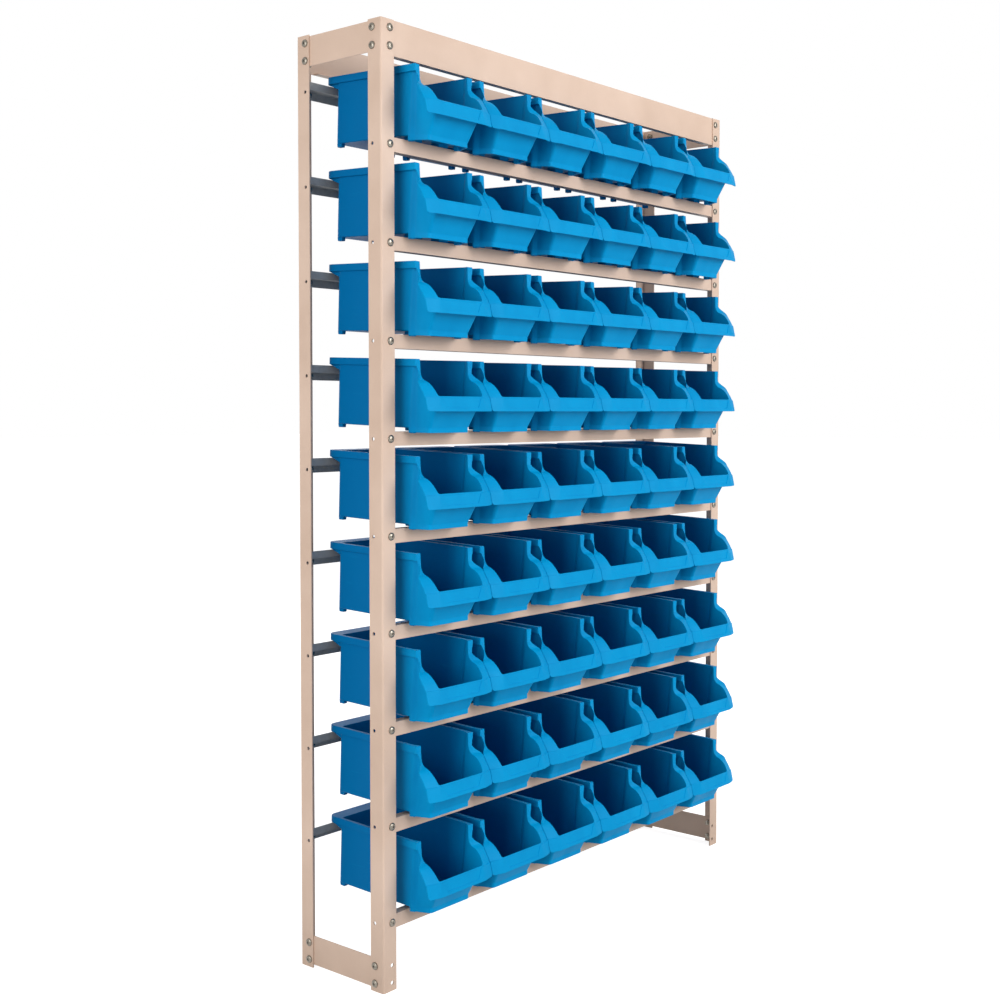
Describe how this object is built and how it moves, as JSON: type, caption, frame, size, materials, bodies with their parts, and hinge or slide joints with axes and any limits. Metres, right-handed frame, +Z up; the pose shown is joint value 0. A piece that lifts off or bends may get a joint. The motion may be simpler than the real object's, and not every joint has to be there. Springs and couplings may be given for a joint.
{
  "type": "bin shelving unit",
  "caption": "Free-standing steel angle frame with side panels and headers, carrying rows of tilted open-front plastic bins that slide out forward from paired rails.",
  "frame": {"origin": "middle of the whole unit's plan, bins at rest, at floor height", "axes": "+Z up, the bins' open fronts face -Y, +X to the right seen from the front"},
  "size_m": [0.9818, 0.2588, 1.495],
  "materials": {
    "frame_paint": "satin beige paint",
    "rail_grey": "satin grey",
    "zinc": "bright zinc plate",
    "bin_plastic": "semi-gloss moulded"
  },
  "bodies": {
    "frame": {"uprights": "frame_paint", "headers": "frame_paint", "side_panels": "frame_paint", "front_rails": "frame_paint", "rear_rails": "rail_grey", "fasteners": "zinc"},
    "bin_r1_c1": {"bin_r1_c1": "bin_plastic"},
    "bin_r1_c2": {"bin_r1_c2": "bin_plastic"},
    "bin_r1_c3": {"bin_r1_c3": "bin_plastic"},
    "bin_r1_c4": {"bin_r1_c4": "bin_plastic"},
    "bin_r1_c5": {"bin_r1_c5": "bin_plastic"},
    "bin_r1_c6": {"bin_r1_c6": "bin_plastic"},
    "bin_r2_c1": {"bin_r2_c1": "bin_plastic"},
    "bin_r2_c2": {"bin_r2_c2": "bin_plastic"},
    "bin_r2_c3": {"bin_r2_c3": "bin_plastic"},
    "bin_r2_c4": {"bin_r2_c4": "bin_plastic"},
    "bin_r2_c5": {"bin_r2_c5": "bin_plastic"},
    "bin_r2_c6": {"bin_r2_c6": "bin_plastic"},
    "bin_r3_c1": {"bin_r3_c1": "bin_plastic"},
    "bin_r3_c2": {"bin_r3_c2": "bin_plastic"},
    "bin_r3_c3": {"bin_r3_c3": "bin_plastic"},
    "bin_r3_c4": {"bin_r3_c4": "bin_plastic"},
    "bin_r3_c5": {"bin_r3_c5": "bin_plastic"},
    "bin_r3_c6": {"bin_r3_c6": "bin_plastic"},
    "bin_r4_c1": {"bin_r4_c1": "bin_plastic"},
    "bin_r4_c2": {"bin_r4_c2": "bin_plastic"},
    "bin_r4_c3": {"bin_r4_c3": "bin_plastic"},
    "bin_r4_c4": {"bin_r4_c4": "bin_plastic"},
    "bin_r4_c5": {"bin_r4_c5": "bin_plastic"},
    "bin_r4_c6": {"bin_r4_c6": "bin_plastic"},
    "bin_r5_c1": {"bin_r5_c1": "bin_plastic"},
    "bin_r5_c2": {"bin_r5_c2": "bin_plastic"},
    "bin_r5_c3": {"bin_r5_c3": "bin_plastic"},
    "bin_r5_c4": {"bin_r5_c4": "bin_plastic"},
    "bin_r5_c5": {"bin_r5_c5": "bin_plastic"},
    "bin_r5_c6": {"bin_r5_c6": "bin_plastic"},
    "bin_r6_c1": {"bin_r6_c1": "bin_plastic"},
    "bin_r6_c2": {"bin_r6_c2": "bin_plastic"},
    "bin_r6_c3": {"bin_r6_c3": "bin_plastic"},
    "bin_r6_c4": {"bin_r6_c4": "bin_plastic"},
    "bin_r6_c5": {"bin_r6_c5": "bin_plastic"},
    "bin_r6_c6": {"bin_r6_c6": "bin_plastic"},
    "bin_r7_c1": {"bin_r7_c1": "bin_plastic"},
    "bin_r7_c2": {"bin_r7_c2": "bin_plastic"},
    "bin_r7_c3": {"bin_r7_c3": "bin_plastic"},
    "bin_r7_c4": {"bin_r7_c4": "bin_plastic"},
    "bin_r7_c5": {"bin_r7_c5": "bin_plastic"},
    "bin_r7_c6": {"bin_r7_c6": "bin_plastic"},
    "bin_r8_c1": {"bin_r8_c1": "bin_plastic"},
    "bin_r8_c2": {"bin_r8_c2": "bin_plastic"},
    "bin_r8_c3": {"bin_r8_c3": "bin_plastic"},
    "bin_r8_c4": {"bin_r8_c4": "bin_plastic"},
    "bin_r8_c5": {"bin_r8_c5": "bin_plastic"},
    "bin_r8_c6": {"bin_r8_c6": "bin_plastic"},
    "bin_r9_c1": {"bin_r9_c1": "bin_plastic"},
    "bin_r9_c2": {"bin_r9_c2": "bin_plastic"},
    "bin_r9_c3": {"bin_r9_c3": "bin_plastic"},
    "bin_r9_c4": {"bin_r9_c4": "bin_plastic"},
    "bin_r9_c5": {"bin_r9_c5": "bin_plastic"},
    "bin_r9_c6": {"bin_r9_c6": "bin_plastic"}
  },
  "joints": [
    {"name": "slide_r1_c1", "type": "slide", "parent": "frame", "child": "bin_r1_c1", "axis": [0, -0.9993, -0.0366], "range_m": [0, 0.14]},
    {"name": "slide_r1_c2", "type": "slide", "parent": "frame", "child": "bin_r1_c2", "axis": [0, -0.9993, -0.0366], "range_m": [0, 0.14]},
    {"name": "slide_r1_c3", "type": "slide", "parent": "frame", "child": "bin_r1_c3", "axis": [0, -0.9993, -0.0366], "range_m": [0, 0.14]},
    {"name": "slide_r1_c4", "type": "slide", "parent": "frame", "child": "bin_r1_c4", "axis": [0, -0.9993, -0.0366], "range_m": [0, 0.14]},
    {"name": "slide_r1_c5", "type": "slide", "parent": "frame", "child": "bin_r1_c5", "axis": [0, -0.9993, -0.0366], "range_m": [0, 0.14]},
    {"name": "slide_r1_c6", "type": "slide", "parent": "frame", "child": "bin_r1_c6", "axis": [0, -0.9993, -0.0366], "range_m": [0, 0.14]},
    {"name": "slide_r2_c1", "type": "slide", "parent": "frame", "child": "bin_r2_c1", "axis": [0, -0.9993, -0.0366], "range_m": [0, 0.14]},
    {"name": "slide_r2_c2", "type": "slide", "parent": "frame", "child": "bin_r2_c2", "axis": [0, -0.9993, -0.0366], "range_m": [0, 0.14]},
    {"name": "slide_r2_c3", "type": "slide", "parent": "frame", "child": "bin_r2_c3", "axis": [0, -0.9993, -0.0366], "range_m": [0, 0.14]},
    {"name": "slide_r2_c4", "type": "slide", "parent": "frame", "child": "bin_r2_c4", "axis": [0, -0.9993, -0.0366], "range_m": [0, 0.14]},
    {"name": "slide_r2_c5", "type": "slide", "parent": "frame", "child": "bin_r2_c5", "axis": [0, -0.9993, -0.0366], "range_m": [0, 0.14]},
    {"name": "slide_r2_c6", "type": "slide", "parent": "frame", "child": "bin_r2_c6", "axis": [0, -0.9993, -0.0366], "range_m": [0, 0.14]},
    {"name": "slide_r3_c1", "type": "slide", "parent": "frame", "child": "bin_r3_c1", "axis": [0, -0.9993, -0.0366], "range_m": [0, 0.14]},
    {"name": "slide_r3_c2", "type": "slide", "parent": "frame", "child": "bin_r3_c2", "axis": [0, -0.9993, -0.0366], "range_m": [0, 0.14]},
    {"name": "slide_r3_c3", "type": "slide", "parent": "frame", "child": "bin_r3_c3", "axis": [0, -0.9993, -0.0366], "range_m": [0, 0.14]},
    {"name": "slide_r3_c4", "type": "slide", "parent": "frame", "child": "bin_r3_c4", "axis": [0, -0.9993, -0.0366], "range_m": [0, 0.14]},
    {"name": "slide_r3_c5", "type": "slide", "parent": "frame", "child": "bin_r3_c5", "axis": [0, -0.9993, -0.0366], "range_m": [0, 0.14]},
    {"name": "slide_r3_c6", "type": "slide", "parent": "frame", "child": "bin_r3_c6", "axis": [0, -0.9993, -0.0366], "range_m": [0, 0.14]},
    {"name": "slide_r4_c1", "type": "slide", "parent": "frame", "child": "bin_r4_c1", "axis": [0, -0.9993, -0.0366], "range_m": [0, 0.14]},
    {"name": "slide_r4_c2", "type": "slide", "parent": "frame", "child": "bin_r4_c2", "axis": [0, -0.9993, -0.0366], "range_m": [0, 0.14]},
    {"name": "slide_r4_c3", "type": "slide", "parent": "frame", "child": "bin_r4_c3", "axis": [0, -0.9993, -0.0366], "range_m": [0, 0.14]},
    {"name": "slide_r4_c4", "type": "slide", "parent": "frame", "child": "bin_r4_c4", "axis": [0, -0.9993, -0.0366], "range_m": [0, 0.14]},
    {"name": "slide_r4_c5", "type": "slide", "parent": "frame", "child": "bin_r4_c5", "axis": [0, -0.9993, -0.0366], "range_m": [0, 0.14]},
    {"name": "slide_r4_c6", "type": "slide", "parent": "frame", "child": "bin_r4_c6", "axis": [0, -0.9993, -0.0366], "range_m": [0, 0.14]},
    {"name": "slide_r5_c1", "type": "slide", "parent": "frame", "child": "bin_r5_c1", "axis": [0, -0.9993, -0.0366], "range_m": [0, 0.14]},
    {"name": "slide_r5_c2", "type": "slide", "parent": "frame", "child": "bin_r5_c2", "axis": [0, -0.9993, -0.0366], "range_m": [0, 0.14]},
    {"name": "slide_r5_c3", "type": "slide", "parent": "frame", "child": "bin_r5_c3", "axis": [0, -0.9993, -0.0366], "range_m": [0, 0.14]},
    {"name": "slide_r5_c4", "type": "slide", "parent": "frame", "child": "bin_r5_c4", "axis": [0, -0.9993, -0.0366], "range_m": [0, 0.14]},
    {"name": "slide_r5_c5", "type": "slide", "parent": "frame", "child": "bin_r5_c5", "axis": [0, -0.9993, -0.0366], "range_m": [0, 0.14]},
    {"name": "slide_r5_c6", "type": "slide", "parent": "frame", "child": "bin_r5_c6", "axis": [0, -0.9993, -0.0366], "range_m": [0, 0.14]},
    {"name": "slide_r6_c1", "type": "slide", "parent": "frame", "child": "bin_r6_c1", "axis": [0, -0.9993, -0.0366], "range_m": [0, 0.14]},
    {"name": "slide_r6_c2", "type": "slide", "parent": "frame", "child": "bin_r6_c2", "axis": [0, -0.9993, -0.0366], "range_m": [0, 0.14]},
    {"name": "slide_r6_c3", "type": "slide", "parent": "frame", "child": "bin_r6_c3", "axis": [0, -0.9993, -0.0366], "range_m": [0, 0.14]},
    {"name": "slide_r6_c4", "type": "slide", "parent": "frame", "child": "bin_r6_c4", "axis": [0, -0.9993, -0.0366], "range_m": [0, 0.14]},
    {"name": "slide_r6_c5", "type": "slide", "parent": "frame", "child": "bin_r6_c5", "axis": [0, -0.9993, -0.0366], "range_m": [0, 0.14]},
    {"name": "slide_r6_c6", "type": "slide", "parent": "frame", "child": "bin_r6_c6", "axis": [0, -0.9993, -0.0366], "range_m": [0, 0.14]},
    {"name": "slide_r7_c1", "type": "slide", "parent": "frame", "child": "bin_r7_c1", "axis": [0, -0.9993, -0.0366], "range_m": [0, 0.14]},
    {"name": "slide_r7_c2", "type": "slide", "parent": "frame", "child": "bin_r7_c2", "axis": [0, -0.9993, -0.0366], "range_m": [0, 0.14]},
    {"name": "slide_r7_c3", "type": "slide", "parent": "frame", "child": "bin_r7_c3", "axis": [0, -0.9993, -0.0366], "range_m": [0, 0.14]},
    {"name": "slide_r7_c4", "type": "slide", "parent": "frame", "child": "bin_r7_c4", "axis": [0, -0.9993, -0.0366], "range_m": [0, 0.14]},
    {"name": "slide_r7_c5", "type": "slide", "parent": "frame", "child": "bin_r7_c5", "axis": [0, -0.9993, -0.0366], "range_m": [0, 0.14]},
    {"name": "slide_r7_c6", "type": "slide", "parent": "frame", "child": "bin_r7_c6", "axis": [0, -0.9993, -0.0366], "range_m": [0, 0.14]},
    {"name": "slide_r8_c1", "type": "slide", "parent": "frame", "child": "bin_r8_c1", "axis": [0, -0.9993, -0.0366], "range_m": [0, 0.14]},
    {"name": "slide_r8_c2", "type": "slide", "parent": "frame", "child": "bin_r8_c2", "axis": [0, -0.9993, -0.0366], "range_m": [0, 0.14]},
    {"name": "slide_r8_c3", "type": "slide", "parent": "frame", "child": "bin_r8_c3", "axis": [0, -0.9993, -0.0366], "range_m": [0, 0.14]},
    {"name": "slide_r8_c4", "type": "slide", "parent": "frame", "child": "bin_r8_c4", "axis": [0, -0.9993, -0.0366], "range_m": [0, 0.14]},
    {"name": "slide_r8_c5", "type": "slide", "parent": "frame", "child": "bin_r8_c5", "axis": [0, -0.9993, -0.0366], "range_m": [0, 0.14]},
    {"name": "slide_r8_c6", "type": "slide", "parent": "frame", "child": "bin_r8_c6", "axis": [0, -0.9993, -0.0366], "range_m": [0, 0.14]},
    {"name": "slide_r9_c1", "type": "slide", "parent": "frame", "child": "bin_r9_c1", "axis": [0, -0.9993, -0.0366], "range_m": [0, 0.14]},
    {"name": "slide_r9_c2", "type": "slide", "parent": "frame", "child": "bin_r9_c2", "axis": [0, -0.9993, -0.0366], "range_m": [0, 0.14]},
    {"name": "slide_r9_c3", "type": "slide", "parent": "frame", "child": "bin_r9_c3", "axis": [0, -0.9993, -0.0366], "range_m": [0, 0.14]},
    {"name": "slide_r9_c4", "type": "slide", "parent": "frame", "child": "bin_r9_c4", "axis": [0, -0.9993, -0.0366], "range_m": [0, 0.14]},
    {"name": "slide_r9_c5", "type": "slide", "parent": "frame", "child": "bin_r9_c5", "axis": [0, -0.9993, -0.0366], "range_m": [0, 0.14]},
    {"name": "slide_r9_c6", "type": "slide", "parent": "frame", "child": "bin_r9_c6", "axis": [0, -0.9993, -0.0366], "range_m": [0, 0.14]}
  ]
}
